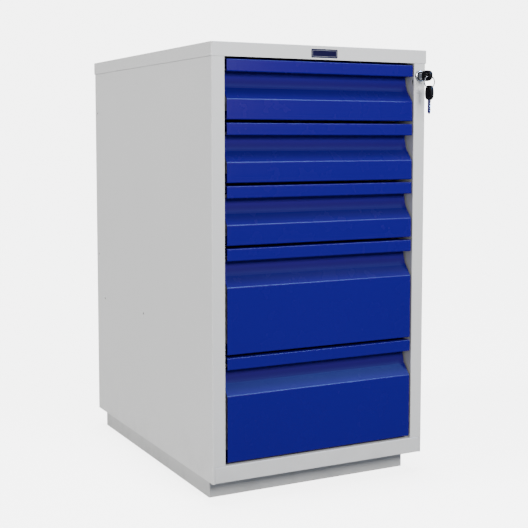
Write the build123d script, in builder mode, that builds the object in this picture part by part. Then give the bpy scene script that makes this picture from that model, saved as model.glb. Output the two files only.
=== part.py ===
from build123d import *
import os
from math import cos, radians, sin

os.makedirs("parts", exist_ok=True)

# Frame: +X to the right seen from the front, drawers open towards -Y, +Z up.
# The origin is on the floor, under the middle of the body.

# Body
body_width = 460.0
body_depth = 640.0
total_height = 840.0
carcass_sheet = 1.2
sheet_bend = 2.0
cover_edge_bend = 1.5
cap_flange = 25.5
cap_clearance = 0.3
stile_width = 26.0
stile_return = 54.0
stile_hem = 12.0
rear_flange = 18.0
top_flange = 18.0
top_flange_setback = 4.0
corner_return = 4.6
seam_gap = 0.3

# Plinth
plinth_height = 40.5
plinth_front_inset = 47.0
plinth_side_inset = 14.0
plinth_back_inset = 13.0
plinth_sheet = 1.5
plinth_flange = 22.0
plinth_corner = 3.0

# Bottom, back and top rail
rail_height = 31.0
rail_return = 20.0
rail_lip = 8.0
tray_flange = 15.0
tray_setback = 5.0
back_sheet = 1.0
top_rail_depth = 20.0
top_rail_gap = 0.5

# Drawer fronts
deep_front_ratio = 97 / 54
front_gap = 5.5
front_bottom_gap = 5.0
front_top_gap = 4.0
front_side_gap = 4.0
front_sheet = 1.0
front_depth = 28.0
front_lip = 16.0
band_height = 22.4
recess_foot_depth = 19.5
recess_foot_drop = 47.5
recess_end_drop = 71.2
recess_bend = 4.0
recess_foot_bend = 9.0
crest_bend = 5.0

# Drawer boxes
box_sheet = 0.9
box_bend = 1.5
box_hem = 9.0
box_floor_lift = 8.0
box_rim_drop = 14.0
box_wall_drop = 3.0
box_tail = 4.0

# Telescopic slides
slide_length = 550.0
slide_start = 40.0
slide_thickness = 12.7
slide_height = 45.0
slide_lift = 4.0
slide_sheet = 1.2
slide_bend = 1.5
slide_lip = 3.5
slide_mouth = 0.8
web_gap = 0.3
ball_size = 4.0
small_ball_size = 3.5
cage_sheet = 0.8
cage_clearance = 0.3
cage_length = 200.0
middle_inset = 4.0
middle_length = 520.0
middle_lip = 2.8
middle_mouth_step = 1.1
inner_flange_reach = 7.5
hook_width = 6.0
hook_sheet = 1.5
hook_lip = 6.0
hook_play = 0.5
front_hook_offset = 4.0
rear_hook_offset = 470.0
box_hook_offsets = (60.0, 430.0)

# Rear uprights
upright_width = 40.0
upright_foot = 15.0
upright_foot_gap = 1.0

# Lock
lock_drop = 24.8
bezel_radius = 11.0
bezel_proud = 3.0
bezel_bevel = 1.2
housing_radius = 9.0
housing_length = 19.0
housing_hole_clearance = 0.2
nut_flats = 21.0
nut_thickness = 4.0
plug_radius = 6.0
running_clearance = 0.05
keyway_width = 2.4
keyway_height = 8.6
keyway_depth = 20.5
drive_square = 6.0
drive_square_over = 0.6
cam_thickness = 2.0
cam_hub_radius = 7.0
crank_radius = 7.0
crank_turn = 90.0
crank_pin_radius = 2.0
crank_pin_reach = 6.0
crank_tip_radius = 3.4
pin_play = 0.4
cam_window_height = 10.0
cam_window_width = 4.0
cam_window_inset = 3.5
cam_window_drop = 12.0

# Lock bar
bar_sheet = 2.0
bar_play = 0.3
bar_lug_gap = 1.8
bar_strip_width = 13.2
bar_lug_height = 16.0
tongue_height = 7.0
tongue_reach = 10.0
tongue_lift = 2.0
tongue_play = 0.5
catch_gap = 1.2
catch_height = 10.0
catch_reach = 8.0
guide_length = 14.0
guide_foot = 6.0
guide_sheet = 1.2

# Keys and ring
key_head_length = 28.0
key_head_width = 21.0
key_head_thickness = 7.5
key_head_round = 6.5
key_head_chamfer = 1.0
key_hole_radius = 2.6
key_hole_inset = 6.0
key_stand_off = 32.0
key_blade_length = 27.0
key_blade_width = 8.0
key_blade_thickness = 2.0
key_blade_tang = 8.0
key_tip_width = 1.0
key_tip_land = 1.0
key_notch_depth = 1.6
key_notch_pitch = 4.5
key_notches = 4
ring_radius = 11.75
ring_wire = 1.5
ring_wire_width = 1.8
ring_hang = 0.7

# Name plate, side holes and fasteners
badge_width = 56.0
badge_height = 16.0
badge_thickness = 1.0
badge_corner = 1.5
badge_drop = 1.5
side_hole_radius = 2.25
rear_hole_back = 16.6
upper_rear_hole_z = 725.6
lower_rear_hole_z = 404.4
low_hole_z = 305.2
low_hole_backs = (55.0, 296.0)
rivet_radius = 2.4
rivet_head_radius = 4.5
rivet_tail_radius = 3.5
rivet_head_height = 1.1
rivet_end_inset = 57.0
rivet_rows = 4
bolt_radius = 4.0
bolt_hole_radius = 4.5
bolt_flats = 13.0
bolt_head_height = 5.3
bolt_nut_height = 6.5
bolt_overrun = 2.0
bolt_inset = 12.0

# Levels and planes that follow from the sizes above
front_y = -body_depth / 2
back_y = body_depth / 2
side_x = body_width / 2
skin_x = side_x - carcass_sheet
opening_x = side_x - stile_width
cap_overhang = cap_clearance + carcass_sheet
cap_underside = total_height - cap_flange
body_top = total_height - carcass_sheet
rail_top = plinth_height + rail_height
back_inner_y = back_y - carcass_sheet - back_sheet
tray_top = plinth_height + carcass_sheet
front_x = opening_x - front_side_gap
box_x = opening_x - slide_thickness
lock_x = (opening_x + carcass_sheet + skin_x) / 2
lock_z = cap_underside - lock_drop
slide_end = slide_start + slide_length
wall_cutter = 3 * carcass_sheet
back_face = body_depth - carcass_sheet - back_sheet

# The five fronts fill the opening: two deep ones below, three shallow ones above
fronts_total = cap_underside - front_top_gap - rail_top - front_bottom_gap - 4 * front_gap
shallow_front_height = fronts_total / (3 + 2 * deep_front_ratio)
deep_front_height = shallow_front_height * deep_front_ratio
front_heights = [shallow_front_height] * 3 + [deep_front_height] * 2


def front_bottom(number):
    """Lower edge of the front of drawer 1 (top) to 5 (bottom)."""
    below = front_heights[number:]
    return rail_top + front_bottom_gap + sum(below) + front_gap * len(below)


def slide_level(number):
    """Middle of the slides of a drawer."""
    return front_bottom(number) + box_floor_lift + slide_lift + slide_height / 2


def tongue_level(number):
    """Underside of the lock bar's tongue for a drawer, unlocked."""
    return slide_level(number) + slide_height / 2 + tongue_lift


def depth_at(distance):
    """Y at a distance behind the front face of the body."""
    return front_y + distance


def facing_front(distance, x=0.0, z=0.0):
    """Plane at a distance behind the front face: local X is +X, local Y is +Z, normal is -Y."""
    return Plane(origin=(x, depth_at(distance), z), x_dir=(1, 0, 0), z_dir=(0, -1, 0))


def folded(points, bends, thickness, side=Side.LEFT):
    """Section of a folded sheet, its thickness on one side of the line through the points."""
    with BuildSketch() as section:
        with BuildLine():
            FilletPolyline(*points, radius=bends)
            offset(amount=thickness, side=side)
        make_face()
    return section.sketch


def save(piece, name):
    """Write one sub-part as its own STEP file."""
    piece.part.label = name
    export_step(piece.part, f"parts/{name}.step")


rivet_x = side_x - rear_flange / 2
rivet_low = plinth_height + rivet_end_inset
rivet_pitch = (cap_underside - rivet_end_inset - rivet_low) / (rivet_rows - 1)
rivet_places = [
    (x, rivet_low + rivet_pitch * row) for x in (-rivet_x, rivet_x) for row in range(rivet_rows)
]
crank_half_turn = radians(crank_turn / 2)
lock_travel = 2 * crank_radius * sin(crank_half_turn)
cam_back = housing_length + cam_thickness
lug_front = cam_back + bar_lug_gap
bar_x = opening_x + carcass_sheet + bar_play
bar_back = lug_front + bar_strip_width
tongue_slot_height = tongue_height + lock_travel + 2 * tongue_play
catch_bottom = slide_lift + slide_height + tongue_lift + tongue_height + catch_gap
catch_front = bar_back + catch_gap
rear_hook = slide_start + rear_hook_offset
front_hook = slide_start + front_hook_offset
hook_reach = carcass_sheet + hook_sheet + hook_play
hook_slot_height = hook_sheet + hook_lip + 2 * hook_play


def hook_slots(distance):
    """Cutters for the slides' hooks through a wall at the opening's right side."""
    for number in range(1, 6):
        slot_z = slide_level(number) - hook_lip / 2
        with Locations((opening_x + carcass_sheet / 2, depth_at(distance), slot_z)):
            Box(wall_cutter, hook_width + 2 * hook_play, hook_slot_height, mode=Mode.SUBTRACT)


# Side panels, each folded round into the stile, its return and a hem
for side_name in ("left", "right"):
    with BuildPart() as side_panel:
        with BuildSketch(Plane.XY.offset(plinth_height)):
            add(folded(
                [
                    (opening_x + stile_hem, depth_at(stile_return)),
                    (opening_x, depth_at(stile_return)),
                    (opening_x, front_y),
                    (side_x, front_y),
                    (side_x, back_y),
                    (side_x - rear_flange, back_y),
                ],
                sheet_bend,
                carcass_sheet,
            ))
        extrude(amount=body_top - plinth_height)
        # Top flange, under the cover
        flange_front = depth_at(stile_return + top_flange_setback)
        flange_back = back_inner_y - seam_gap
        with BuildSketch(Plane.XY.offset(body_top - carcass_sheet)):
            with Locations((skin_x, flange_front)):
                Rectangle(
                    top_flange - carcass_sheet, flange_back - flange_front, align=(Align.MAX, Align.MIN)
                )
        extrude(amount=carcass_sheet)
        # The stile stops on the bottom rail
        notch_top = rail_top + seam_gap
        notch_width = stile_width - corner_return
        with BuildSketch(Plane.XY.offset(plinth_height)):
            with Locations((side_x - corner_return - notch_width, front_y)):
                Rectangle(notch_width, stile_return + carcass_sheet, align=(Align.MIN, Align.MIN))
        extrude(amount=notch_top - plinth_height, mode=Mode.SUBTRACT)
        # Holes in the side, for fixing the cabinet to a bench frame
        with Locations(Plane(origin=(side_x, back_y, 0), x_dir=(0, -1, 0), z_dir=(1, 0, 0))):
            with Locations(
                (rear_hole_back, -upper_rear_hole_z),
                (rear_hole_back, -lower_rear_hole_z),
                (low_hole_backs[0], -low_hole_z),
                (low_hole_backs[1], -low_hole_z),
            ):
                Hole(side_hole_radius, depth=wall_cutter)
        with Locations(Plane(origin=(0, back_y, 0), x_dir=(1, 0, 0), z_dir=(0, -1, 0))):
            with Locations(*[place for place in rivet_places if place[0] > 0]):
                Hole(rivet_radius + running_clearance, depth=2 * carcass_sheet)
        hook_slots(front_hook)
        if side_name == "right":
            # Hole for the lock, slot beside it and slots for the lock bar's tongues
            with BuildSketch(facing_front(0)):
                with Locations((lock_x, lock_z)):
                    Circle(housing_radius + housing_hole_clearance)
            extrude(amount=-2 * carcass_sheet, mode=Mode.SUBTRACT)
            window_y = depth_at(cam_window_inset + cam_window_width / 2)
            with Locations((opening_x + carcass_sheet / 2, window_y, lock_z - cam_window_drop)):
                Box(wall_cutter, cam_window_width, cam_window_height, mode=Mode.SUBTRACT)
            for number in range(1, 6):
                slot_z = tongue_level(number) - tongue_play + tongue_slot_height / 2
                slot_y = depth_at(bar_back - bar_sheet / 2)
                slot_width = bar_sheet + 2 * tongue_play
                with Locations((opening_x + carcass_sheet / 2, slot_y, slot_z)):
                    Box(wall_cutter, slot_width, tongue_slot_height, mode=Mode.SUBTRACT)
        else:
            mirror(about=Plane.YZ, mode=Mode.REPLACE)
    save(side_panel, f"side_panel_{side_name}")

# Rear uprights, hat sections on the side panels
for side_name in ("left", "right"):
    upright_front = depth_at(rear_hook - upright_width / 2)
    upright_back = depth_at(rear_hook + upright_width / 2)
    upright_low = plinth_height + tray_flange + upright_foot_gap
    upright_high = body_top - carcass_sheet
    web_x = opening_x + carcass_sheet
    with BuildPart() as upright:
        with BuildSketch(Plane.XY.offset(upright_low)):
            add(folded(
                [
                    (skin_x, upright_front - upright_foot),
                    (skin_x, upright_front),
                    (web_x, upright_front),
                    (web_x, upright_back),
                    (skin_x, upright_back),
                    (skin_x, upright_back + upright_foot),
                ],
                sheet_bend,
                carcass_sheet,
            ))
        extrude(amount=upright_high - upright_low)
        hook_slots(rear_hook)
        if side_name == "left":
            mirror(about=Plane.YZ, mode=Mode.REPLACE)
    save(upright, f"upright_{side_name}")

# Top cover, a tray turned over the body
with BuildPart() as top_cover:
    with BuildSketch(Plane.XY.offset(cap_underside)):
        RectangleRounded(body_width + 2 * cap_overhang, body_depth + 2 * cap_overhang, sheet_bend)
    extrude(amount=cap_flange)
    fillet(top_cover.edges().group_by(Axis.Z)[-1], radius=cover_edge_bend)
    offset(amount=-carcass_sheet, openings=top_cover.faces().sort_by(Axis.Z)[0])
save(top_cover, "top_cover")

# Top rail between the stiles, behind the cover's flange
with BuildPart() as top_rail:
    rail_low = cap_underside + top_rail_gap
    with BuildSketch(Plane.YZ):
        add(folded(
            [
                (depth_at(top_rail_depth), body_top),
                (front_y, body_top),
                (front_y, rail_low),
                (depth_at(top_rail_depth), rail_low),
            ],
            sheet_bend,
            carcass_sheet,
        ))
    extrude(amount=opening_x, both=True)
save(top_rail, "top_rail")

# Bottom panel, folded up into the front rail and into flanges on the other three sides
bolt_x = side_x - plinth_side_inset - bolt_inset
bolt_front_y = front_y + plinth_front_inset + bolt_inset
bolt_back_y = back_y - plinth_back_inset - bolt_inset
bolt_places = [(x, y) for x in (-bolt_x, bolt_x) for y in (bolt_front_y, bolt_back_y)]
with BuildPart() as bottom_panel:
    rail_x = side_x - corner_return - seam_gap
    with BuildSketch(Plane.YZ):
        add(folded(
            [
                (depth_at(rail_return), rail_top - rail_lip),
                (depth_at(rail_return), rail_top),
                (front_y, rail_top),
                (front_y, plinth_height),
                (back_inner_y, plinth_height),
                (back_inner_y, plinth_height + tray_flange),
            ],
            sheet_bend,
            carcass_sheet,
        ))
    extrude(amount=rail_x, both=True)
    tray_front = depth_at(rail_return + tray_setback)
    tray_back = back_inner_y - sheet_bend
    with BuildSketch(Plane.XZ.offset(-tray_front)):
        add(folded(
            [
                (-skin_x, plinth_height + tray_flange),
                (-skin_x, plinth_height),
                (skin_x, plinth_height),
                (skin_x, plinth_height + tray_flange),
            ],
            sheet_bend,
            carcass_sheet,
        ))
    extrude(amount=-(tray_back - tray_front))
    with Locations(*[(x, y, tray_top) for x, y in bolt_places]):
        Hole(bolt_hole_radius, depth=2 * carcass_sheet)
save(bottom_panel, "bottom_panel")

# Back panel, between the side panels' rear flanges and the bottom panel's flange
with BuildPart() as back_panel:
    panel_low = tray_top + seam_gap
    panel_high = body_top - seam_gap
    with BuildSketch(facing_front(back_face)):
        with Locations((0, (panel_low + panel_high) / 2)):
            Rectangle(2 * (skin_x - sheet_bend), panel_high - panel_low)
    extrude(amount=-back_sheet)
    with BuildSketch(facing_front(back_face)):
        with Locations(*rivet_places):
            Circle(rivet_radius + running_clearance)
    extrude(amount=-back_sheet, mode=Mode.SUBTRACT)
save(back_panel, "back_panel")

# Rivets of the back panel, blind rivets with a head on each side
with BuildPart() as back_rivets:
    rivet_grip = carcass_sheet + back_sheet
    for distance, length, radius in (
        (body_depth, -rivet_head_height, rivet_head_radius),
        (body_depth, rivet_grip, rivet_radius),
        (body_depth - rivet_grip, rivet_head_height, rivet_tail_radius),
    ):
        with BuildSketch(facing_front(distance)):
            with Locations(*rivet_places):
                Circle(radius)
        extrude(amount=length)
save(back_rivets, "back_rivets")

# Plinth, a welded frame of channel, open in the middle
plinth_width = body_width - 2 * plinth_side_inset
plinth_depth = body_depth - plinth_front_inset - plinth_back_inset
plinth_middle = Plane(origin=(0, (plinth_front_inset - plinth_back_inset) / 2, 0))
plinth_inner_width = plinth_width - 2 * plinth_sheet
plinth_inner_depth = plinth_depth - 2 * plinth_sheet
with BuildPart() as plinth:
    with BuildSketch(plinth_middle):
        RectangleRounded(plinth_width, plinth_depth, plinth_corner)
    extrude(amount=plinth_height)
    with BuildSketch(plinth_middle.offset(plinth_sheet)):
        RectangleRounded(plinth_inner_width, plinth_inner_depth, plinth_corner - plinth_sheet)
    extrude(amount=plinth_height - 2 * plinth_sheet, mode=Mode.SUBTRACT)
    with BuildSketch(plinth_middle):
        Rectangle(plinth_width - 2 * plinth_flange, plinth_depth - 2 * plinth_flange)
    extrude(amount=plinth_height, mode=Mode.SUBTRACT)
    with Locations(*[(x, y, plinth_height) for x, y in bolt_places]):
        Hole(bolt_hole_radius, depth=2 * plinth_sheet)
save(plinth, "plinth")

# Bolts and nuts that hold the plinth
nut_top = plinth_height - plinth_sheet
with BuildPart() as plinth_bolts:
    with BuildSketch(Plane.XY.offset(tray_top)):
        with Locations(*bolt_places):
            RegularPolygon(bolt_flats / 2, 6, major_radius=False)
    extrude(amount=bolt_head_height)
    with BuildSketch(Plane.XY.offset(tray_top)):
        with Locations(*bolt_places):
            Circle(bolt_radius)
    extrude(amount=-(tray_top - nut_top + bolt_nut_height + bolt_overrun))
save(plinth_bolts, "plinth_bolts")

with BuildPart() as plinth_nuts:
    with BuildSketch(Plane.XY.offset(nut_top)):
        with Locations(*bolt_places):
            RegularPolygon(bolt_flats / 2, 6, major_radius=False)
            Circle(bolt_radius + running_clearance, mode=Mode.SUBTRACT)
    extrude(amount=-bolt_nut_height)
save(plinth_nuts, "plinth_nuts")

# Name plate on the cover's front flange, bare
with BuildPart() as badge_plate:
    with BuildSketch(facing_front(-cap_overhang, 0, cap_underside + cap_flange / 2 - badge_drop)):
        RectangleRounded(badge_width, badge_height, badge_corner)
    extrude(amount=badge_thickness)
save(badge_plate, "badge_plate")


def mirrored_pair():
    """Add the left-hand copy of what stands on the right."""
    mirror(about=Plane.YZ)


# Slide sections, from the mounting web (at the opening's side) towards the drawer
outer_half = slide_height / 2
outer_race = outer_half - slide_sheet
outer_depth = slide_thickness - slide_mouth
middle_web = slide_sheet + cage_sheet + 2 * web_gap
middle_half = outer_race - ball_size
middle_race = middle_half - slide_sheet
middle_depth = outer_depth - middle_mouth_step
inner_half = middle_race - small_ball_size


def channel(web, mouth, half_height, lip):
    """Section of a slide member as a folded channel, lipped at the mouth if lip isn't 0."""
    lower = [(opening_x - mouth, -half_height), (opening_x - web, -half_height)]
    upper = [(opening_x - web, half_height), (opening_x - mouth, half_height)]
    if lip:
        lower = [(opening_x - mouth, lip - half_height)] + lower
        upper = upper + [(opening_x - mouth, half_height - lip)]
    return folded(lower + upper, slide_bend, slide_sheet)


def cage(web, mouth, low, high):
    """Section of a ball cage: a web with a bar in each race."""
    with BuildSketch() as section:
        with Locations((opening_x - web, 0)):
            Rectangle(cage_sheet, 2 * high, align=(Align.MAX, Align.CENTER))
        with Locations((opening_x - web, (low + high) / 2), (opening_x - web, -(low + high) / 2)):
            Rectangle(mouth - web, high - low, align=(Align.MAX, Align.CENTER))
    return section.sketch


for number in range(1, 6):
    bottom = front_bottom(number)
    height = front_heights[number - 1]
    level = slide_level(number)

    # Drawer front, one folded sheet: band, finger recess, slope and panel, open at both ends
    with BuildPart() as drawer_front:
        back = depth_at(front_depth)
        recess_back = depth_at(front_depth - front_sheet)
        top = bottom + height
        with BuildSketch(Plane.YZ):
            add(folded(
                [
                    (back, top - front_lip),
                    (back, top),
                    (front_y, top),
                    (front_y, top - band_height),
                    (recess_back, top - band_height),
                    (depth_at(recess_foot_depth), top - recess_foot_drop),
                    (front_y, top - recess_end_drop),
                    (front_y, bottom),
                    (back, bottom),
                    (back, bottom + front_lip),
                ],
                [sheet_bend] * 3 + [recess_bend, recess_foot_bend, crest_bend] + [sheet_bend] * 2,
                front_sheet,
            ))
        extrude(amount=front_x, both=True)
    save(drawer_front, f"drawer_front_{number}")

    # Drawer box, a folded tray with a front and a back wall welded in
    box_low = bottom + box_floor_lift
    rim = bottom + height - box_rim_drop
    box_back = slide_end + box_tail
    with BuildPart() as drawer_box:
        with BuildSketch(facing_front(front_depth)):
            add(folded(
                [
                    (box_x - box_hem, rim),
                    (box_x, rim),
                    (box_x, box_low),
                    (-box_x, box_low),
                    (-box_x, rim),
                    (box_hem - box_x, rim),
                ],
                box_bend,
                box_sheet,
                Side.RIGHT,
            ))
        extrude(amount=-(box_back - front_depth))
        wall_x = box_x - box_sheet / 2
        wall_low = box_low + box_sheet / 2
        for distance, wall_top in (
            (front_depth, bottom + height - box_wall_drop),
            (box_back - box_sheet, rim - box_sheet / 2),
        ):
            with BuildSketch(facing_front(distance)):
                with Locations((0, wall_low)):
                    Rectangle(2 * wall_x, wall_top - wall_low, align=(Align.CENTER, Align.MIN))
            extrude(amount=-box_sheet)
        # Hooks bent out of both sides, which carry the slides' inner members
        for offset_y in box_hook_offsets:
            hook_y = depth_at(slide_start + offset_y)
            hook_z = level - hook_lip / 2
            hook_out = slide_sheet + web_gap + hook_sheet
            for hand in (-1, 1):
                inward = Align.MIN if hand > 0 else Align.MAX
                outward = Align.MAX if hand > 0 else Align.MIN
                with Locations((hand * (box_x - box_sheet / 2), hook_y, hook_z)):
                    arm = hook_out + box_sheet / 2
                    Box(arm, hook_width, hook_sheet, align=(inward, Align.CENTER, Align.MIN))
                with Locations((hand * (box_x + hook_out), hook_y, hook_z)):
                    Box(hook_sheet, hook_width, hook_lip, align=(outward, Align.CENTER, Align.MIN))
        # Catch for the lock bar, bent out of the right side
        catch_z = box_low + catch_bottom
        low_corner = (Align.MIN, Align.MIN, Align.MIN)
        with Locations((box_x - box_sheet / 2, depth_at(catch_front), catch_z)):
            Box(catch_reach, box_sheet, catch_height, align=low_corner)
        with Locations((box_x - 2 * box_sheet, depth_at(catch_front + box_sheet), catch_z)):
            Box(3 * box_sheet, catch_reach, catch_height, align=low_corner, mode=Mode.SUBTRACT)
    save(drawer_box, f"drawer_box_{number}")

    # Outer members, hooked into the stiles' returns and the uprights
    with BuildPart() as slide_outer:
        with BuildSketch(facing_front(slide_start, 0, level)):
            add(channel(0, outer_depth, outer_half, slide_lip))
        extrude(amount=-slide_length)
        for distance in (front_hook, rear_hook):
            with Locations((opening_x - slide_sheet / 2, depth_at(distance), level)):
                Box(
                    hook_reach + slide_sheet / 2,
                    hook_width,
                    hook_sheet,
                    align=(Align.MIN, Align.CENTER, Align.CENTER),
                )
            with Locations((opening_x + hook_reach, depth_at(distance), level + hook_sheet / 2)):
                Box(hook_sheet, hook_width, hook_lip, align=(Align.MAX, Align.CENTER, Align.MAX))
        mirrored_pair()
    save(slide_outer, f"slide_outer_{number}")

    # Middle members
    with BuildPart() as slide_middle:
        with BuildSketch(facing_front(slide_start + middle_inset, 0, level)):
            add(channel(middle_web, middle_depth, middle_half, middle_lip))
        extrude(amount=-middle_length)
        mirrored_pair()
    save(slide_middle, f"slide_middle_{number}")

    # Inner members, hooked on the drawer box
    with BuildPart() as slide_inner:
        with BuildSketch(facing_front(slide_start, 0, level)):
            add(folded(
                [
                    (opening_x - slide_thickness + inner_flange_reach, inner_half),
                    (box_x, inner_half),
                    (box_x, -inner_half),
                    (opening_x - slide_thickness + inner_flange_reach, -inner_half),
                ],
                slide_bend,
                slide_sheet,
            ))
        extrude(amount=-slide_length)
        for offset_y in box_hook_offsets:
            slot_place = (box_x + slide_sheet / 2, depth_at(slide_start + offset_y), level)
            with Locations(slot_place):
                Box(
                    3 * slide_sheet,
                    hook_width + 2 * hook_play,
                    hook_lip + 2 * hook_play,
                    mode=Mode.SUBTRACT,
                )
        mirrored_pair()
    save(slide_inner, f"slide_inner_{number}")

    # Ball cages: the outer pair runs a quarter of the drawer's way, the inner pair three quarters
    cage_start = slide_start + middle_inset + (slide_length / 4)
    with BuildPart() as cage_outer:
        with BuildSketch(facing_front(cage_start, 0, level)):
            add(cage(
                slide_sheet + web_gap,
                outer_depth - slide_sheet - cage_clearance,
                middle_half + cage_clearance,
                outer_race - cage_clearance,
            ))
        extrude(amount=-cage_length)
        mirrored_pair()
    save(cage_outer, f"cage_outer_{number}")

    with BuildPart() as cage_inner:
        with BuildSketch(facing_front(cage_start, 0, level)):
            add(cage(
                middle_web + slide_sheet + web_gap,
                middle_depth - slide_sheet - cage_clearance,
                inner_half + cage_clearance,
                middle_race - cage_clearance,
            ))
        extrude(amount=-cage_length)
        mirrored_pair()
    save(cage_inner, f"cage_inner_{number}")

# Lock housing with its bezel, through the right stile
with BuildPart() as lock_housing:
    with BuildSketch(facing_front(-bezel_proud, lock_x, lock_z)):
        Circle(bezel_radius)
    extrude(amount=-bezel_proud)
    chamfer(lock_housing.edges().filter_by(GeomType.CIRCLE).sort_by(Axis.Y)[0], length=bezel_bevel)
    with BuildSketch(facing_front(0, lock_x, lock_z)):
        Circle(housing_radius)
    extrude(amount=-housing_length)
    with BuildSketch(facing_front(-bezel_proud, lock_x, lock_z)):
        Circle(plug_radius + running_clearance)
    extrude(amount=-(bezel_proud + housing_length), mode=Mode.SUBTRACT)
save(lock_housing, "lock_housing")

# Nut behind the stile
with BuildPart() as lock_nut:
    with BuildSketch(facing_front(carcass_sheet, lock_x, lock_z)):
        RegularPolygon(nut_flats / 2, 6, major_radius=False, rotation=30)
        Circle(housing_radius + running_clearance, mode=Mode.SUBTRACT)
    extrude(amount=-nut_thickness)
save(lock_nut, "lock_nut")

# Plug that turns in the housing, with its keyway and the square that drives the cam
with BuildPart() as lock_plug:
    with BuildSketch(facing_front(-bezel_proud, lock_x, lock_z)):
        Circle(plug_radius)
    extrude(amount=-(bezel_proud + housing_length))
    with BuildSketch(facing_front(housing_length, lock_x, lock_z)):
        Rectangle(drive_square, drive_square)
    extrude(amount=-(cam_thickness + drive_square_over))
    with BuildSketch(facing_front(-bezel_proud, lock_x, lock_z)):
        Rectangle(keyway_width, keyway_height)
    extrude(amount=-keyway_depth, mode=Mode.SUBTRACT)
save(lock_plug, "lock_plug")

# Cam with the crank pin that lifts the lock bar
pin_x = lock_x + crank_radius * cos(crank_half_turn)
pin_z = lock_z - crank_radius * sin(crank_half_turn)
cam_square = drive_square + 2 * running_clearance
with BuildPart() as lock_cam:
    with BuildSketch(facing_front(housing_length)):
        with Locations((lock_x, lock_z)):
            Circle(cam_hub_radius)
        with Locations((pin_x, pin_z)):
            Circle(crank_tip_radius)
        make_hull()
        with Locations((lock_x, lock_z)):
            Rectangle(cam_square, cam_square, mode=Mode.SUBTRACT)
    extrude(amount=-cam_thickness)
    with BuildSketch(facing_front(cam_back)):
        with Locations((pin_x, pin_z)):
            Circle(crank_pin_radius)
    extrude(amount=-crank_pin_reach)
save(lock_cam, "lock_cam")

# Lock bar, a strip with a lug for the crank pin and a tongue for each drawer
with BuildPart() as lock_bar:
    bar_low = tongue_level(5) - tongue_height
    bar_high = pin_z + bar_lug_height / 2
    strip_front = depth_at(lug_front)
    with Locations((bar_x, strip_front, bar_low)):
        Box(bar_sheet, bar_strip_width, bar_high - bar_low, align=(Align.MIN, Align.MIN, Align.MIN))
    lug_x = skin_x - bar_play
    with Locations((bar_x, strip_front, pin_z)):
        Box(lug_x - bar_x, bar_sheet, bar_lug_height, align=(Align.MIN, Align.MIN, Align.CENTER))
    slot_low_x = pin_x - crank_pin_radius - pin_play
    slot_high_x = lock_x + crank_radius + crank_pin_radius + pin_play
    with BuildSketch(facing_front(lug_front)):
        with Locations(((slot_low_x + slot_high_x) / 2, pin_z)):
            Rectangle(slot_high_x - slot_low_x, 2 * (crank_pin_radius + pin_play))
    extrude(amount=-bar_sheet, mode=Mode.SUBTRACT)
    for number in range(1, 6):
        with Locations((bar_x + bar_sheet, depth_at(bar_back), tongue_level(number))):
            Box(
                bar_x + bar_sheet - opening_x + tongue_reach,
                bar_sheet,
                tongue_height,
                align=(Align.MAX, Align.MAX, Align.MIN),
            )
save(lock_bar, "lock_bar")

# Guides for the lock bar, straps on the back of the stile's return
with BuildPart() as bar_guides:
    wall_x = opening_x + carcass_sheet
    bridge_x = bar_x + bar_sheet + bar_play
    guide_front = depth_at(lug_front) - bar_play
    guide_back = depth_at(bar_back) + bar_play
    for number in (1, 3, 5):
        guide_z = tongue_level(number) + tongue_slot_height + guide_length / 2
        if number == 1:
            guide_z = tongue_level(number) - guide_length
        with BuildSketch(Plane.XY.offset(guide_z)):
            with BuildLine():
                Polyline(
                    (wall_x, guide_front - guide_foot),
                    (wall_x, guide_front),
                    (bridge_x, guide_front),
                    (bridge_x, guide_back),
                    (wall_x, guide_back),
                    (wall_x, guide_back + guide_foot),
                )
                offset(amount=guide_sheet, side=Side.RIGHT, kind=Kind.INTERSECTION)
            make_face()
        extrude(amount=guide_length)
save(bar_guides, "bar_guides")


def key_pieces(plane, name):
    """Blade and moulded head of a key. The plane's origin is its hole, local X runs to the tip."""
    head_end = key_head_length - key_hole_inset
    with BuildPart() as blade:
        with BuildSketch(plane):
            with BuildLine():
                tip = head_end + key_blade_length
                half = key_blade_width / 2
                points = [
                    (head_end - key_blade_tang, half),
                    (tip - half, half),
                    (tip, key_tip_width / 2),
                    (tip, -key_tip_width / 2),
                ]
                first_notch = tip - half - key_tip_land
                for notch in range(key_notches):
                    notch_at = first_notch - notch * key_notch_pitch
                    notch_depth = key_notch_depth * (1 + notch % 2) / 2
                    points.append((notch_at, -half))
                    points.append((notch_at - key_notch_pitch / 2, notch_depth - half))
                points.append((first_notch - key_notches * key_notch_pitch, -half))
                points.append((head_end - key_blade_tang, -half))
                Polyline(*points, close=True)
            make_face()
        extrude(amount=key_blade_thickness / 2, both=True)
    save(blade, f"{name}_blade")

    with BuildPart() as head:
        with BuildSketch(plane):
            with Locations((head_end - key_head_length / 2, 0)):
                RectangleRounded(key_head_length, key_head_width, key_head_round)
            Circle(key_hole_radius, mode=Mode.SUBTRACT)
        extrude(amount=key_head_thickness / 2, both=True)
        rims = [face.outer_wire().edges() for face in head.faces().filter_by(Axis.X)]
        chamfer(rims[0] + rims[1], length=key_head_chamfer)
        with BuildSketch(plane):
            with Locations((head_end, 0)):
                Rectangle(key_blade_tang, key_blade_width, align=(Align.MAX, Align.CENTER))
        extrude(amount=key_blade_thickness / 2, both=True, mode=Mode.SUBTRACT)
    save(head, f"{name}_head")


hole_y = depth_at(-key_stand_off)
key_pieces(Plane(origin=(lock_x, hole_y, lock_z), x_dir=(0, 1, 0), z_dir=(1, 0, 0)), "key")

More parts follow.
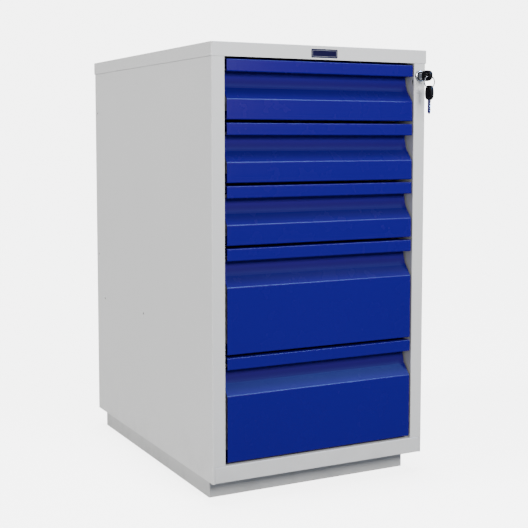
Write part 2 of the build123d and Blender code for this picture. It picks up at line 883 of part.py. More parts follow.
# Split ring through the key's hole, and the spare key hanging on it
ring_z = lock_z - ring_hang - ring_radius
with BuildPart() as key_ring:
    with BuildSketch(Plane(origin=(lock_x, hole_y, ring_z), x_dir=(1, 0, 0), z_dir=(0, -1, 0))):
        Circle(ring_radius + ring_wire / 2)
        Circle(ring_radius - ring_wire / 2, mode=Mode.SUBTRACT)
    extrude(amount=ring_wire_width / 2, both=True)
save(key_ring, "key_ring")

spare_z = ring_z - ring_radius - ring_hang
key_pieces(Plane(origin=(lock_x, hole_y, spare_z), x_dir=(0, 0, -1), z_dir=(1, 0, 0)), "spare_key")
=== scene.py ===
import bpy
import bmesh
from math import cos, pi, radians, sin, tau
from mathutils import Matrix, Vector


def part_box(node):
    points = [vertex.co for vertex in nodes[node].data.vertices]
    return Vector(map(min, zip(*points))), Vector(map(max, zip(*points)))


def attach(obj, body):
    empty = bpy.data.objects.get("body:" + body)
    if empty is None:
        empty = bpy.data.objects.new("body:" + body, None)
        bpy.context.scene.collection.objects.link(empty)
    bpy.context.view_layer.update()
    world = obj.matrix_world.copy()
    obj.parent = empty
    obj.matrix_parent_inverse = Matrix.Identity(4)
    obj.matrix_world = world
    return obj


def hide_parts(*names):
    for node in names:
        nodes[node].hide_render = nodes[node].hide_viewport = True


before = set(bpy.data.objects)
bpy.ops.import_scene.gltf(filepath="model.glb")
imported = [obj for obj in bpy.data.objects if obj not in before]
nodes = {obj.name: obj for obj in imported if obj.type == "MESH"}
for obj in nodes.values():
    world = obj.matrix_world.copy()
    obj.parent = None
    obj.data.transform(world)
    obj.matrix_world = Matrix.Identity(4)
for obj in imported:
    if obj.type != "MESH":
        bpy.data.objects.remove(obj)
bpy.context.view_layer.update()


# Shader sockets with Python arithmetic, and the finishes built with them
class Wire:
    """A shader value that takes part in Python expressions."""

    def __init__(self, finish, socket):
        self.finish = finish
        self.socket = socket

    def combine(self, operation, first, second):
        return self.finish.node("ShaderNodeMath", {"operation": operation}, {0: first, 1: second})

    def __add__(self, other):
        return self.combine("ADD", self, other)

    def __radd__(self, other):
        return self.combine("ADD", other, self)

    def __sub__(self, other):
        return self.combine("SUBTRACT", self, other)

    def __rsub__(self, other):
        return self.combine("SUBTRACT", other, self)

    def __mul__(self, other):
        return self.combine("MULTIPLY", self, other)

    def __rmul__(self, other):
        return self.combine("MULTIPLY", other, self)

    def clipped(self):
        return self.finish.node("ShaderNodeClamp", {}, {"Value": self})


class Finish:
    """A material with a Principled shader, built from expressions."""

    def __init__(self, name, **constants):
        self.material = bpy.data.materials.new(name)
        self.material.use_nodes = True
        self.tree = self.material.node_tree
        self.tree.nodes.clear()
        self.shader = self.tree.nodes.new("ShaderNodeBsdfPrincipled")
        output = self.tree.nodes.new("ShaderNodeOutputMaterial")
        self.tree.links.new(self.shader.outputs[0], output.inputs[0])
        for socket, value in constants.items():
            self.shader.inputs[socket.replace("_", " ")].default_value = value
        self.place = self.node("ShaderNodeTexCoord", {}, {}, "Object")

    def node(self, kind, settings, values, output=0):
        """One node of any type: its settings come first, then its sockets' values or links."""
        made = self.tree.nodes.new(kind)
        for name, value in settings.items():
            setattr(made, name, value)
        for name, value in values.items():
            if isinstance(value, Wire):
                self.tree.links.new(value.socket, made.inputs[name])
            else:
                made.inputs[name].default_value = value
        return Wire(self, made.outputs[output])

    def noise(self, scale, detail, place=None, **values):
        """Noise between 0 and 1, its scale per metre."""
        sockets = {"Vector": place or self.place, "Scale": scale, "Detail": detail, **values}
        return self.node("ShaderNodeTexNoise", {}, sockets, "Fac")

    def stretched(self, scale):
        """Object coordinates stretched along the axes."""
        return self.node("ShaderNodeMapping", {}, {"Vector": self.place, "Scale": scale})

    def along(self, axis):
        """Object coordinate along one axis, in metres."""
        return self.node("ShaderNodeSeparateXYZ", {}, {"Vector": self.place}, axis)

    def ramp(self, value, low, high):
        """0 below low, 1 above high, smooth between."""
        return self.node(
            "ShaderNodeMapRange",
            {"interpolation_type": "SMOOTHSTEP"},
            {"Value": value, "From Min": low, "From Max": high},
        )

    def blend(self, factor, first, second):
        """Colour mix."""
        return self.node(
            "ShaderNodeMix", {"data_type": "RGBA"}, {"Factor": factor, 6: first, 7: second}, 2
        )

    def use(self, **links):
        """Link wires to the shader's sockets."""
        for socket, wire in links.items():
            self.tree.links.new(wire.socket, self.shader.inputs[socket.replace("_", " ")])

    def bumps(self, height, distance):
        """Surface relief from a height between 0 and 1, its depth in metres."""
        sockets = {"Height": height, "Distance": distance, "Strength": 1.0}
        return self.node("ShaderNodeBump", {}, sockets)


def shade(colour, factor):
    """Opaque colour, made darker or lighter by a factor."""
    return (colour[0] * factor, colour[1] * factor, colour[2] * factor, 1.0)


def grey(level):
    """Opaque grey."""
    return (level, level, level, 1.0)


# Painted shade in the finger recess, by depth behind the fronts' plane: the slope is painted darker
# inwards, the fold at its foot and all behind it are duller, and the painted shade on the wall
# above the fold fades towards its top
front_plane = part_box("drawer_front_1")[0].y
slope_edge = front_plane + 0.0006
slope_darkest = front_plane + 0.013
fold_start = front_plane + 0.0162
fold_end = front_plane + 0.0184
fold_dulling = 0.34
wall_darkest = front_plane + 0.021
wall_top = front_plane + 0.0265

# Heights above the floor: up to which dust gathers, and where the painted shade at the foot is full
# and where it ends
dust_height = 0.16
foot_shade_full_height = 0.012
foot_shade_end_height = 0.062


def powder_coat(name, colour, roughness, peel, grime=0.0, gloss=0.3, recess_shade=0.0, foot_shade=0.0):
    """Powder coat with orange peel and a faint mottle.

    One amount dulls the finger recess and darkens it with painted shade, grime darkens patches near
    the floor with dust, and another amount darkens the foot with painted shade.
    """
    finish = Finish(name, Specular_IOR_Level=gloss)
    mottle = finish.noise(scale=5.0, detail=3.0)
    speck = finish.noise(scale=2600.0, detail=1.0)
    tone = (mottle * 0.75 + speck * 0.25).clipped()
    coat = finish.blend(tone, shade(colour, 0.965), shade(colour, 1.035))
    # Painted shade: the finger recess is darkened towards black by its depth behind the fronts'
    # plane
    if recess_shade:
        behind = finish.along("Y")
        slope = finish.ramp(behind, slope_edge, slope_darkest)
        roughness = roughness + finish.ramp(behind, fold_start, fold_end) * fold_dulling
        deep = slope - finish.ramp(behind, wall_darkest, wall_top)
        coat = finish.blend(deep * recess_shade, coat, grey(0.0))
    if grime:
        near_floor = 1 - finish.ramp(finish.along("Z"), 0.0, dust_height)
        smudge = finish.ramp(finish.noise(scale=16.0, detail=5.0, Roughness=0.62), 0.42, 0.72)
        coat = finish.blend(near_floor * smudge * grime, coat, shade(colour, 0.72))
    # Painted shade: darker towards the floor, in an even band round the foot
    if foot_shade:
        foot_shade_mask = 1 - finish.ramp(finish.along("Z"), foot_shade_full_height, foot_shade_end_height)
        coat = finish.blend(foot_shade_mask * foot_shade, coat, shade(colour, 0.25))
    orange_peel = finish.noise(scale=520.0, detail=2.0, Roughness=0.55)
    cloud = finish.noise(scale=26.0, detail=4.0)
    finish.use(
        Base_Color=coat,
        Roughness=roughness - 0.025 + cloud * 0.05,
        Normal=finish.bumps(orange_peel, peel),
    )
    return finish.material


def zinc_plate(name, colour, roughness, grain=(900.0, 14.0, 900.0), stain=0.3):
    """Rolled steel with bright zinc: grain along the strip and cloudy passivation."""
    finish = Finish(name, Metallic=1.0)
    rolled = finish.noise(scale=1.0, detail=3.0, place=finish.stretched(grain))
    cloud = finish.noise(scale=34.0, detail=4.0, Roughness=0.6)
    warm = (colour[0] * 0.86, colour[1] * 0.83, colour[2] * 0.74, 1.0)
    plated = finish.blend(finish.ramp(cloud, 0.38, 0.72) * stain, shade(colour, 1.0), warm)
    finish.use(
        Base_Color=finish.blend(rolled * 0.35, plated, shade(colour, 0.78)),
        Roughness=roughness - 0.08 + rolled * 0.12 + cloud * 0.08,
        Normal=finish.bumps(rolled, 0.00002),
    )
    return finish.material


# Depths behind the bezel's face where the painted shade in its groove and on its outer edge starts,
# is full, fades and ends
groove_shade_depths = (0.0009, 0.0017, 0.0026, 0.0030)


def chrome_plate(name, grooved_face=None):
    """Polished plate with fine wiping marks, and painted shade in a band of depth behind a face."""
    finish = Finish(name, Metallic=1.0)
    wipe = finish.noise(scale=1.0, detail=3.0, place=finish.stretched((500.0, 90.0, 1600.0)))
    cloud = finish.noise(scale=160.0, detail=3.0)
    plated = finish.blend(cloud, (0.60, 0.61, 0.63, 1.0), (0.74, 0.75, 0.77, 1.0))
    if grooved_face is not None:
        behind = finish.along("Y")
        start, full, fading, end = [grooved_face + depth for depth in groove_shade_depths]
        # Painted shade: a band of depth behind the face, the groove among it, is painted nearly
        # black
        groove_shade = finish.ramp(behind, start, full) - finish.ramp(behind, fading, end)
        plated = finish.blend(groove_shade, plated, grey(0.004))
    finish.use(
        Base_Color=plated,
        Roughness=0.10 + wipe * 0.12 + cloud * 0.06,
        Normal=finish.bumps(wipe, 0.000006),
    )
    return finish.material


def moulded_plastic(name, colour, roughness):
    """Spark-eroded moulded plastic, worn smooth in patches."""
    finish = Finish(name, Specular_IOR_Level=0.06)
    spark = finish.noise(scale=3200.0, detail=2.0)
    rub = finish.ramp(finish.noise(scale=120.0, detail=3.0), 0.5, 0.72)
    finish.use(
        Base_Color=finish.blend(rub * 0.6, shade(colour, 1.0), shade(colour, 1.7)),
        Roughness=roughness - rub * 0.14 + spark * 0.08,
        Normal=finish.bumps(spark, 0.00003),
    )
    return finish.material


def badge_enamel(name):
    """Dark blue enamel of the bare name plate."""
    finish = Finish(name, Specular_IOR_Level=0.05)
    flow = finish.noise(scale=60.0, detail=3.0)
    fleck = finish.noise(scale=4200.0, detail=1.0)
    deepest = (0.003, 0.002, 0.020, 1.0)
    lightest = (0.006, 0.004, 0.040, 1.0)
    finish.use(
        Base_Color=finish.blend(flow * 0.7 + fleck * 0.3, deepest, lightest),
        Roughness=0.28 + fleck * 0.1,
        Normal=finish.bumps(flow, 0.00003),
    )
    return finish.material


coat_body = powder_coat(
    "body_powder_coat", (0.575, 0.575, 0.57), roughness=0.46, peel=0.00004, grime=0.35
)
# The plinth's coat has painted shade at its foot
coat_plinth = powder_coat(
    "plinth_powder_coat", (0.50, 0.50, 0.495), roughness=0.5, peel=0.00004, grime=0.6,
    foot_shade=0.22,
)
coat_box = powder_coat("box_powder_coat", (0.52, 0.52, 0.515), roughness=0.5, peel=0.00004)
# The fronts' coat has painted shade in the finger recesses
coat_front = powder_coat(
    "front_powder_coat", (0.0105, 0.0015, 0.136), roughness=0.27, peel=0.00003, gloss=0.07,
    recess_shade=0.38,
)
slide_zinc = zinc_plate("slide_zinc", (0.66, 0.68, 0.70), roughness=0.34)
cage_zinc = zinc_plate("cage_zinc", (0.50, 0.52, 0.55), roughness=0.42, stain=0.6)
bar_zinc = zinc_plate(
    "bar_zinc", (0.60, 0.61, 0.63), roughness=0.38, grain=(900.0, 900.0, 14.0)
)
fastener_zinc = zinc_plate(
    "fastener_zinc", (0.64, 0.65, 0.66), roughness=0.32, grain=(300.0, 300.0, 300.0)
)
key_nickel = zinc_plate(
    "key_nickel", (0.42, 0.43, 0.46), roughness=0.26, grain=(700.0, 700.0, 60.0), stain=0.15
)
ring_nickel = zinc_plate(
    "ring_nickel", (0.22, 0.22, 0.23), roughness=0.24, grain=(400.0, 400.0, 400.0), stain=0.1
)
lock_chrome = chrome_plate("lock_chrome")
# The bezel's groove has painted shade
bezel_chrome = chrome_plate("bezel_chrome", grooved_face=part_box("lock_housing")[0].y)
ball_steel = chrome_plate("ball_steel")
key_plastic = moulded_plastic("key_plastic", (0.004, 0.004, 0.005), roughness=0.42)
badge_face = badge_enamel("badge_enamel")
badge_metal = chrome_plate("badge_rim_chrome")

finish_of_node = {
    "plinth": coat_plinth,
    "plinth_bolts": fastener_zinc,
    "plinth_nuts": fastener_zinc,
    "lock_nut": fastener_zinc,
    "bar_guides": fastener_zinc,
    "lock_housing": lock_chrome,
    "lock_plug": lock_chrome,
    "lock_cam": fastener_zinc,
    "lock_bar": bar_zinc,
    "key_blade": key_nickel,
    "spare_key_blade": key_nickel,
}
finish_of_family = {
    "drawer_front": coat_front,
    "drawer_box": coat_box,
    "slide": slide_zinc,
    "cage": cage_zinc,
}
for name, node in nodes.items():
    finish = finish_of_node.get(name)
    if finish is None:
        matches = [value for family, value in finish_of_family.items() if name.startswith(family)]
        finish = matches[0] if matches else coat_body
    for slot in node.material_slots:
        slot.material = finish


# Meshes made in code
def new_piece(name, mesh, body, finish, smooth=35.0):
    """A finished mesh as a piece that rides on a body, smooth up to an angle in degrees."""
    mesh.materials.clear()
    mesh.materials.append(finish)
    piece = bpy.data.objects.new(name, mesh)
    bpy.context.scene.collection.objects.link(piece)
    for face in mesh.polygons:
        face.use_smooth = True
    mesh.set_sharp_from_angle(angle=radians(smooth))
    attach(piece, body)
    return piece


def loft(name, rings, closed=False):
    """Mesh through rings of points, capped at both ends unless it closes on itself."""
    work = bmesh.new()
    rows = [[work.verts.new(point) for point in ring] for ring in rings]
    pairs = list(zip(rows, rows[1:]))
    if closed:
        pairs.append((rows[-1], rows[0]))
    for first, second in pairs:
        for corner in range(len(first)):
            following = (corner + 1) % len(first)
            work.faces.new((first[corner], first[following], second[following], second[corner]))
    if not closed:
        work.faces.new(reversed(rows[0]))
        work.faces.new(rows[-1])
    bmesh.ops.recalc_face_normals(work, faces=work.faces)
    mesh = bpy.data.meshes.new(name)
    work.to_mesh(mesh)
    work.free()
    return mesh


def rounded_outline(width, height, radius, steps=6):
    """Points of a rounded rectangle about the origin, in a plane."""
    points = []
    for turn, (side_x, side_y) in enumerate(((1, 1), (-1, 1), (-1, -1), (1, -1))):
        for step in range(steps + 1):
            angle = (turn + step / steps) * pi / 2
            points.append((
                side_x * (width / 2 - radius) + radius * cos(angle),
                side_y * (height / 2 - radius) + radius * sin(angle),
            ))
    return points


def stacked(outlines, put):
    """Rings for loft: each flat outline's points placed in space at its depth."""
    return [[put(first, second, depth) for first, second in outline] for outline, depth in outlines]


# Name plate: a dark rim round a bare domed face with a thin bright line
badge_low, badge_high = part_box("badge_plate")
badge_width = badge_high.x - badge_low.x
badge_height = badge_high.z - badge_low.z
badge_middle = (badge_low + badge_high) / 2
badge_back = badge_high.y
badge_thickness = badge_high.y - badge_low.y
sharpest_corner = 0.0003


def on_badge(across, up, depth):
    return Vector((badge_middle.x + across, badge_back - depth, badge_middle.z + up))


def plate_rings(profile, corner, corner_loss=0.0):
    """Rings of the name plate from insets and shares of its thickness.

    The outline's corner radius shrinks by corner_loss of the inset.
    """
    outlines = []
    for inset, share in profile:
        radius = max(corner - inset * corner_loss, sharpest_corner)
        outline = rounded_outline(badge_width - 2 * inset, badge_height - 2 * inset, radius)
        outlines.append((outline, share * badge_thickness))
    return stacked(outlines, on_badge)


# Profiles: inset from the edge in metres, and share of the thickness
rim = 0.0011
rim_profile = (
    (0.0, 0.0), (0.0, 0.75), (0.00025, 1.0), (rim - 0.0003, 1.0), (rim, 0.8), (rim, 0.45),
)
rim_rings = plate_rings(rim_profile, corner=0.0015, corner_loss=0.7)
badge_rim = new_piece(
    "badge_rim", loft("badge_rim", rim_rings), "cabinet", badge_face
)
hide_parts("badge_plate")

line_outside = 0.0022
line_inside = line_outside + 0.0005
line_profile = (
    (line_outside, 0.80), (line_outside, 0.94), (line_inside, 0.94), (line_inside, 0.80),
)
line_rings = plate_rings(line_profile, corner=0.0008)
new_piece(
    "badge_line", loft("badge_line", line_rings, closed=True), "cabinet", badge_metal,
)

dome_profile = (
    (rim, 0.30), (rim, 0.62), (rim + 0.0007, 0.78), (rim + 0.002, 0.86), (rim + 0.004, 0.90),
)
dome_rings = plate_rings(dome_profile, corner=0.0008, corner_loss=0.1)
new_piece("badge_dome", loft("badge_dome", dome_rings), "cabinet", badge_face)


# Moulded key heads: a rim round a sunken field, and the hole for the ring
head_length = 0.028
head_width = 0.021
head_half_thickness = 0.0075 / 2
head_points = 56
head_squareness = 2.0 / 3.2
taper_depth = 0.22
taper_middle = 0.15
ring_hole_radius = 0.0026
ring_hole_inset = 0.006
# From the edge inwards: margin in metres, and share of half the thickness
head_section = (
    (0.0, 0.55), (0.0002, 0.80), (0.0009, 0.97), (0.0017, 1.0),
    (0.0026, 0.97), (0.0032, 0.80), (0.0040, 0.74),
)
# Round the ring's hole: distance from its wall, and share of half the thickness
hole_lip = ((0.0016, 0.76), (0.0010, 0.95), (0.0003, 0.93), (0.0, 0.80))


def squared(share):
    """Cosine or sine pulled outwards, for an outline between an ellipse and a rectangle."""
    return abs(share) ** head_squareness * (1 if share >= 0 else -1)


def head_outline(margin):
    """Points at the same angles all round, on a tapering rounded head."""
    points = []
    for step in range(head_points):
        angle = tau * step / head_points
        lengthwise = (head_length / 2 - margin) * squared(cos(angle))
        crosswise = (head_width / 2 - margin) * squared(sin(angle))
        off_middle = (2 * lengthwise / head_length - taper_middle) / (1 + taper_middle)
        points.append((lengthwise, crosswise * (1.0 - taper_depth * off_middle ** 2)))
    return points


def ring_hole(radius):
    """Circle about the ring's hole, with as many points as the head's outline."""
    points = []
    for step in range(head_points):
        angle = tau * step / head_points
        lengthwise = radius * cos(angle) - (head_length / 2 - ring_hole_inset)
        points.append((lengthwise, radius * sin(angle)))
    return points


def key_grip(name, hole, along, across, out, body):
    """Head of a key about its ring hole, along its blade's direction."""
    centre = hole + along * (head_length / 2 - ring_hole_inset)

    def put(lengthwise, crosswise, depth):
        return centre + along * lengthwise + across * crosswise + out * depth

    upper = [
        (head_outline(margin), share * head_half_thickness) for margin, share in head_section
    ]
    upper += [
        (ring_hole(ring_hole_radius + distance), share * head_half_thickness)
        for distance, share in hole_lip
    ]
    lower = [(points, -depth) for points, depth in reversed(upper)]
    mesh = loft(name, stacked(upper + lower, put), closed=True)
    return new_piece(name, mesh, body, key_plastic, smooth=50.0)


lock_low, lock_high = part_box("lock_plug")
lock_middle = (lock_low + lock_high) / 2
ring_low, ring_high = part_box("key_ring")
ring_middle = (ring_low + ring_high) / 2
key_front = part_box("key_head")[0].y
spare_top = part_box("spare_key_head")[1].z
key_hole = Vector((lock_middle.x, key_front + ring_hole_inset, lock_middle.z))
spare_hole = Vector((lock_middle.x, ring_middle.y, spare_top - ring_hole_inset))
backwards = Vector((0, 1, 0))
upwards = Vector((0, 0, 1))
sideways = Vector((1, 0, 0))
grip = key_grip("key_grip", key_hole, backwards, upwards, sideways, "key")
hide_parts("key_head")
spare_grip = key_grip(
    "spare_key_grip", spare_hole, -upwards, backwards, sideways, "spare_key"
)
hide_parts("spare_key_head")


# Lock housing: a turned bezel with a groove round the plug, and the thread behind it
housing_low, housing_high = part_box("lock_housing")
housing_length = housing_high.y - housing_low.y
bezel_outside = (housing_high.x - housing_low.x) / 2
bezel_depth = 0.003
bezel_steps = 72
bore = 0.00605
thread_root = 0.0086
thread_crest = 0.0090
thread_pitch = 0.001
thread_chamfer = 0.0004
# Radius and depth: lip of the bore, groove, crowned face, rim, and the start of the thread
bezel_profile = [
    (bore, 0.0007), (bore + 0.0002, 0.0003), (bore + 0.0006, 0.0003), (bore + 0.0008, 0.0006),
    (bore + 0.0009, 0.0024), (0.0084, 0.0024), (0.0086, 0.0005), (0.0089, 0.0), (0.0095, 0.0),
    (0.0102, 0.0003), (0.0107, 0.0009), (bezel_outside, 0.0017), (bezel_outside, bezel_depth),
    (thread_crest, bezel_depth), (thread_root, bezel_depth + thread_pitch / 2),
]
thread_turns = int((housing_length - bezel_depth) / thread_pitch) - 1
for turn in range(1, thread_turns + 1):
    bezel_profile.append((thread_crest, bezel_depth + turn * thread_pitch))
    bezel_profile.append((thread_root, bezel_depth + (turn + 0.5) * thread_pitch))
bezel_profile += [(thread_root - thread_chamfer, housing_length), (bore, housing_length)]
bezel_rings = [
    [
        Vector((
            lock_middle.x + radius * cos(tau * step / bezel_steps),
            housing_low.y + depth,
            lock_middle.z + radius * sin(tau * step / bezel_steps),
        ))
        for step in range(bezel_steps)
    ]
    for radius, depth in bezel_profile
]
bezel_mesh = loft("lock_bezel", bezel_rings, closed=True)
bezel = new_piece(
    "lock_bezel", bezel_mesh, "cabinet", bezel_chrome, smooth=40.0
)
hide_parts("lock_housing")


# Split ring: two turns of flattened wire, side by side
ring_turns = 2
steps_per_turn = 96
ring_steps = steps_per_turn * ring_turns
ring_start = radians(70)
crossing_start = 0.46
crossing_share = 0.08
ring_wire_high = 0.0015
ring_wire_wide = (ring_high.y - ring_low.y) / 2
# Shares of the wire's width: the metal, beside a gap between the turns, and its corners' radius
metal_share = 0.94
corner_share = 0.3


def split_ring(name):
    """Flat wire that steps over to its second turn half way along."""
    middle_radius = (ring_high.x - ring_low.x) / 2 - ring_wire_high / 2
    section = rounded_outline(
        ring_wire_high, ring_wire_wide * metal_share, ring_wire_wide * corner_share, steps=3
    )
    rings = []
    for step in range(ring_steps + 1):
        share = step / ring_steps
        angle = tau * ring_turns * share + ring_start
        crossing = min(max((share - crossing_start) / crossing_share, 0.0), 1.0)
        shift = (crossing * crossing * (3 - 2 * crossing) - 0.5) * ring_wire_wide
        outward = Vector((cos(angle), 0, sin(angle)))
        rings.append([
            ring_middle + outward * (middle_radius + high) + Vector((0, shift + wide, 0))
            for high, wide in section
        ])
    return loft(name, rings)


ring_mesh = split_ring("split_ring")
ring = new_piece("split_ring", ring_mesh, "ring", ring_nickel, smooth=50.0)
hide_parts("key_ring")


# Geometry Nodes: one small head, repeated at the points of a mesh
def repeated(name, points, make_head, inputs, finish):
    """Instances of what make_head builds, at points, as a plain mesh."""
    seeds = bpy.data.meshes.new(name + "_points")
    seeds.from_pydata([tuple(point) for point in points], [], [])
    holder = bpy.data.objects.new(name + "_holder", seeds)
    bpy.context.scene.collection.objects.link(holder)
    tree = bpy.data.node_groups.new(name + "_tree", "GeometryNodeTree")
    tree.interface.new_socket("Points", in_out="INPUT", socket_type="NodeSocketGeometry")
    sizes = {}
    for label, value in inputs.items():
        socket = tree.interface.new_socket(
            label, in_out="INPUT", socket_type="NodeSocketFloat"
        )
        sizes[socket.identifier] = value
    tree.interface.new_socket("Geometry", in_out="OUTPUT", socket_type="NodeSocketGeometry")
    entry = tree.nodes.new("NodeGroupInput")
    leave = tree.nodes.new("NodeGroupOutput")
    head = make_head(tree, entry)
    to_points = tree.nodes.new("GeometryNodeMeshToPoints")
    spread = tree.nodes.new("GeometryNodeInstanceOnPoints")
    real = tree.nodes.new("GeometryNodeRealizeInstances")
    coat = tree.nodes.new("GeometryNodeSetMaterial")
    coat.inputs["Material"].default_value = finish
    join = tree.links.new
    join(entry.outputs["Points"], to_points.inputs[0])
    join(to_points.outputs[0], spread.inputs["Points"])
    join(head, spread.inputs["Instance"])
    join(spread.outputs[0], real.inputs[0])
    join(real.outputs[0], coat.inputs[0])
    join(coat.outputs[0], leave.inputs[0])
    change = holder.modifiers.new("repeat", "NODES")
    change.node_group = tree
    for identifier, value in sizes.items():
        change[identifier] = value
    view = bpy.context.evaluated_depsgraph_get()
    mesh = bpy.data.meshes.new_from_object(holder.evaluated_get(view))
    mesh.name = name
    bpy.data.objects.remove(holder)
    return mesh


def domed_head(tree, entry):
    """Blind rivet's head: a flattened dome facing +Y, with the mandrel's end in its middle."""
    dome = tree.nodes.new("GeometryNodeMeshUVSphere")
    dome.inputs["Segments"].default_value = 24
    dome.inputs["Rings"].default_value = 10
    flat = tree.nodes.new("GeometryNodeTransform")
    scale = tree.nodes.new("ShaderNodeCombineXYZ")
    stub = tree.nodes.new("GeometryNodeMeshCylinder")
    stub.inputs["Vertices"].default_value = 16
    turn = tree.nodes.new("GeometryNodeTransform")
    turn.inputs["Rotation"].default_value = (pi / 2, 0, 0)
    both = tree.nodes.new("GeometryNodeJoinGeometry")
    join = tree.links.new
    join(entry.outputs["Head radius"], dome.inputs["Radius"])
    scale.inputs["X"].default_value = 1.0
    scale.inputs["Z"].default_value = 1.0
    join(entry.outputs["Flattening"], scale.inputs["Y"])
    join(dome.outputs[0], flat.inputs["Geometry"])
    join(scale.outputs[0], flat.inputs["Scale"])
    join(entry.outputs["Mandrel radius"], stub.inputs["Radius"])
    join(entry.outputs["Mandrel length"], stub.inputs["Depth"])
    join(stub.outputs[0], turn.inputs["Geometry"])
    join(flat.outputs[0], both.inputs[0])
    join(turn.outputs[0], both.inputs[0])
    return both.outputs[0]


def plain_ball(tree, entry):
    """Steel ball of a slide."""
    ball = tree.nodes.new("GeometryNodeMeshUVSphere")
    ball.inputs["Segments"].default_value = 14
    ball.inputs["Rings"].default_value = 8
    tree.links.new(entry.outputs["Ball radius"], ball.inputs["Radius"])
    return ball.outputs[0]


# Ball cages of the slides: folded strips on both hands, with a row of balls in each lip
box_faces = ((0, 1, 3, 2), (4, 6, 7, 5), (0, 4, 5, 1), (2, 3, 7, 6), (0, 2, 6, 4), (1, 5, 7, 3))
strip_edge = 0.00015


def strip_blocks(name, blocks):
    """Mesh of plain-edged strips, each from its lowest to its highest corner."""
    work = bmesh.new()
    for lowest, highest in blocks:
        corners = [
            work.verts.new((x, y, z))
            for x in (lowest[0], highest[0])
            for y in (lowest[1], highest[1])
            for z in (lowest[2], highest[2])
        ]
        for numbers in box_faces:
            work.faces.new([corners[number] for number in numbers])
    bmesh.ops.recalc_face_normals(work, faces=work.faces)
    bmesh.ops.bevel(
        work, geom=list(work.edges), offset=strip_edge, segments=1, affect="EDGES"
    )
    mesh = bpy.data.meshes.new(name)
    work.to_mesh(mesh)
    work.free()
    return mesh


cage_sheet = 0.0008
balls_per_row = 14
drawer_count = 5
# Kind, reach of the lips from the web's outside, height of the bar that stands for the balls
# in the node, ball radius
cage_kinds = (("outer", 0.0089, 0.0034, 0.00195), ("inner", 0.0052, 0.0029, 0.0017))
for kind, cage_reach, bar_height, ball_radius in cage_kinds:
    for number in range(1, drawer_count + 1):
        node_name = f"cage_{kind}_{number}"
        strips_name = f"cage_strips_{kind}_{number}"
        balls_name = f"cage_balls_{kind}_{number}"
        body = f"{kind}_balls_{number}"
        cage_low, cage_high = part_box(node_name)
        cage_length = cage_high.y - cage_low.y
        middle_z = (cage_low.z + cage_high.z) / 2
        row_z = (cage_high.z - cage_low.z) / 2 - bar_height / 2
        blocks = []
        ball_points = []
        for hand in (-1, 1):
            web_x = (hand * cage_high.x, hand * (cage_high.x - cage_sheet))
            lip_x = (hand * (cage_high.x - cage_sheet), hand * (cage_high.x - cage_reach))
            blocks.append((
                (min(web_x), cage_low.y, middle_z - row_z - cage_sheet / 2),
                (max(web_x), cage_high.y, middle_z + row_z + cage_sheet / 2),
            ))
            for side in (-1, 1):
                lip_z = middle_z + side * row_z
                blocks.append((
                    (min(lip_x), cage_low.y, lip_z - cage_sheet / 2),
                    (max(lip_x), cage_high.y, lip_z + cage_sheet / 2),
                ))
                ball_x = hand * (cage_high.x - cage_reach / 2)
                for place in range(balls_per_row):
                    share = (place + 0.5) / balls_per_row
                    ball_points.append((ball_x, cage_low.y + cage_length * share, lip_z))
        strips = new_piece(
            strips_name, strip_blocks(strips_name, blocks), body, cage_zinc
        )
        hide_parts(node_name)
        ball_sizes = {"Ball radius": ball_radius}
        balls = repeated(balls_name, ball_points, plain_ball, ball_sizes, ball_steel)
        new_piece(balls_name, balls, body, ball_steel, smooth=60.0)


# Heads of the back panel's blind rivets
rivet_low, rivet_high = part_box("back_rivets")
rivet_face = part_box("side_panel_left")[1].y
rivet_radius = 0.0045
rivet_rows = 4
rivet_span = rivet_high.z - rivet_low.z - 2 * rivet_radius
rivet_xs = (rivet_low.x + rivet_radius, rivet_high.x - rivet_radius)
rivet_zs = [
    rivet_low.z + rivet_radius + rivet_span * row / (rivet_rows - 1) for row in range(rivet_rows)
]
rivet_points = [(x, rivet_face, z) for x in rivet_xs for z in rivet_zs]
rivet_sizes = {
    "Head radius": rivet_radius,
    "Flattening": 0.24,
    "Mandrel radius": 0.0011,
    "Mandrel length": 0.0020,
}
rivets = repeated("rivet_heads", rivet_points, domed_head, rivet_sizes, fastener_zinc)
new_piece("rivet_heads", rivets, "cabinet", fastener_zinc)


# Floor: glowing white to the camera, a dull dark grey to every other ray
floor_finish = Finish("floor_white", Emission_Strength=4.2)
floor_tone = floor_finish.noise(scale=2.0, detail=2.0)
seen_floor = floor_finish.node("ShaderNodeLightPath", {}, {}, "Is Camera Ray")
floor_paint = floor_finish.blend(floor_tone, grey(0.93), grey(0.95))
floor_finish.use(
    Base_Color=floor_finish.blend(seen_floor, grey(0.13), floor_paint),
    Roughness=0.75 + floor_tone * 0.05,
    Emission_Color=floor_finish.blend(seen_floor, grey(0.0), grey(1.0)),
)
floor_mesh = bpy.data.meshes.new("floor")
floor_reach = 30.0
floor_corners = [
    (-floor_reach, -floor_reach, 0), (floor_reach, -floor_reach, 0),
    (floor_reach, floor_reach, 0), (-floor_reach, floor_reach, 0),
]
floor_mesh.from_pydata(floor_corners, [], [(0, 1, 2, 3)])
floor_mesh.materials.append(floor_finish.material)
floor = bpy.data.objects.new("floor", floor_mesh)
bpy.context.scene.collection.objects.link(floor)


# Lights: a softbox in front and soft suns
def place_lamp(name, data, towards):
    """Lamp whose light comes from the direction that towards points in."""
    lamp = bpy.data.objects.new(name, data)
    lamp.rotation_mode = "QUATERNION"
    lamp.rotation_quaternion = Vector(towards).to_track_quat("Z", "Y")
    bpy.context.scene.collection.objects.link(lamp)
    return lamp


def soft_sun(name, towards, strength, spread):
    """Broad soft light from far off, its spread in degrees."""
    data = bpy.data.lights.new(name, "SUN")
    data.energy = strength
    data.angle = radians(spread)
    return place_lamp(name, data, towards)


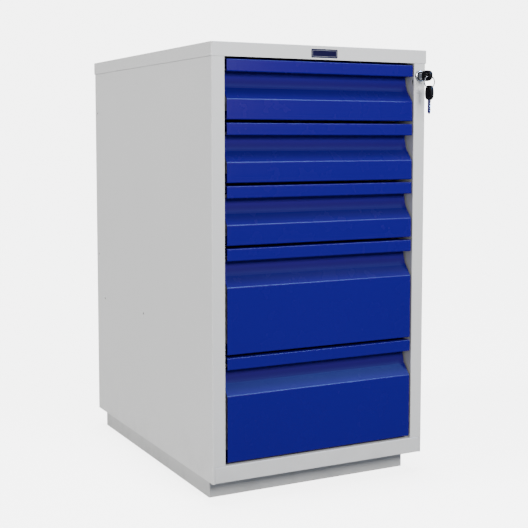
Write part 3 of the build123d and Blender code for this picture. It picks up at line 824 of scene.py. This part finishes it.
def softbox(name, place, aim, width, height, power):
    """Rectangular light that the camera doesn't see."""
    data = bpy.data.lights.new(name, "AREA")
    data.shape = "RECTANGLE"
    data.size = width
    data.size_y = height
    data.energy = power
    lamp = place_lamp(name, data, Vector(place) - Vector(aim))
    lamp.location = place
    lamp.visible_camera = False


softbox(
    "front_light", place=(0.15, -2.3, 1.28), aim=(0.0, -0.32, 0.5),
    width=0.9, height=0.62, power=70,
)
soft_sun("left_light", towards=(-0.95, 0.12, 0.30), strength=3.9, spread=20)
# Blue light that shows only as a shine, mostly on the slopes of the fronts
slope_light = soft_sun("slope_light", towards=(0.465, -0.575, 0.673), strength=9.0, spread=14)
slope_light.data.color = (0.22, 0.46, 1.0)
slope_light.visible_diffuse = False
soft_sun("zenith_light", towards=(0.0, 0.05, 1.0), strength=2.4, spread=12)

# World: bright behind the object, dim as a light
world = bpy.data.worlds.new("studio")
bpy.context.scene.world = world
world.use_nodes = True
sky = world.node_tree
sky.nodes.clear()


def white_background(strength):
    background = sky.nodes.new("ShaderNodeBackground")
    background.inputs["Color"].default_value = grey(1.0)
    background.inputs["Strength"].default_value = strength
    return background.outputs[0]


seen_sky = white_background(strength=5.75)
lit_sky = white_background(strength=0.58)
paths = sky.nodes.new("ShaderNodeLightPath")
choice = sky.nodes.new("ShaderNodeMixShader")
sky.links.new(paths.outputs["Is Camera Ray"], choice.inputs[0])
sky.links.new(lit_sky, choice.inputs[1])
sky.links.new(seen_sky, choice.inputs[2])
sky.links.new(choice.outputs[0], sky.nodes.new("ShaderNodeOutputWorld").inputs[0])

# Camera at the photograph's angle
camera_data = bpy.data.cameras.new("camera")
camera_data.sensor_width = 36.0
camera_data.lens = 73.17
camera_data.shift_x = 0.0053
camera_data.shift_y = -0.072
camera_data.clip_start = 0.05
camera_data.clip_end = 200.0
camera = bpy.data.objects.new("camera", camera_data)
camera.location = (-1.025, -2.056, 0.669)
camera_turn = radians(27.24)
camera_tilt = radians(4.67)
sight = Vector((
    sin(camera_turn) * cos(camera_tilt), cos(camera_turn) * cos(camera_tilt), -sin(camera_tilt),
))
camera.rotation_mode = "QUATERNION"
camera.rotation_quaternion = sight.to_track_quat("-Z", "Y")
bpy.context.scene.collection.objects.link(camera)
bpy.context.scene.camera = camera
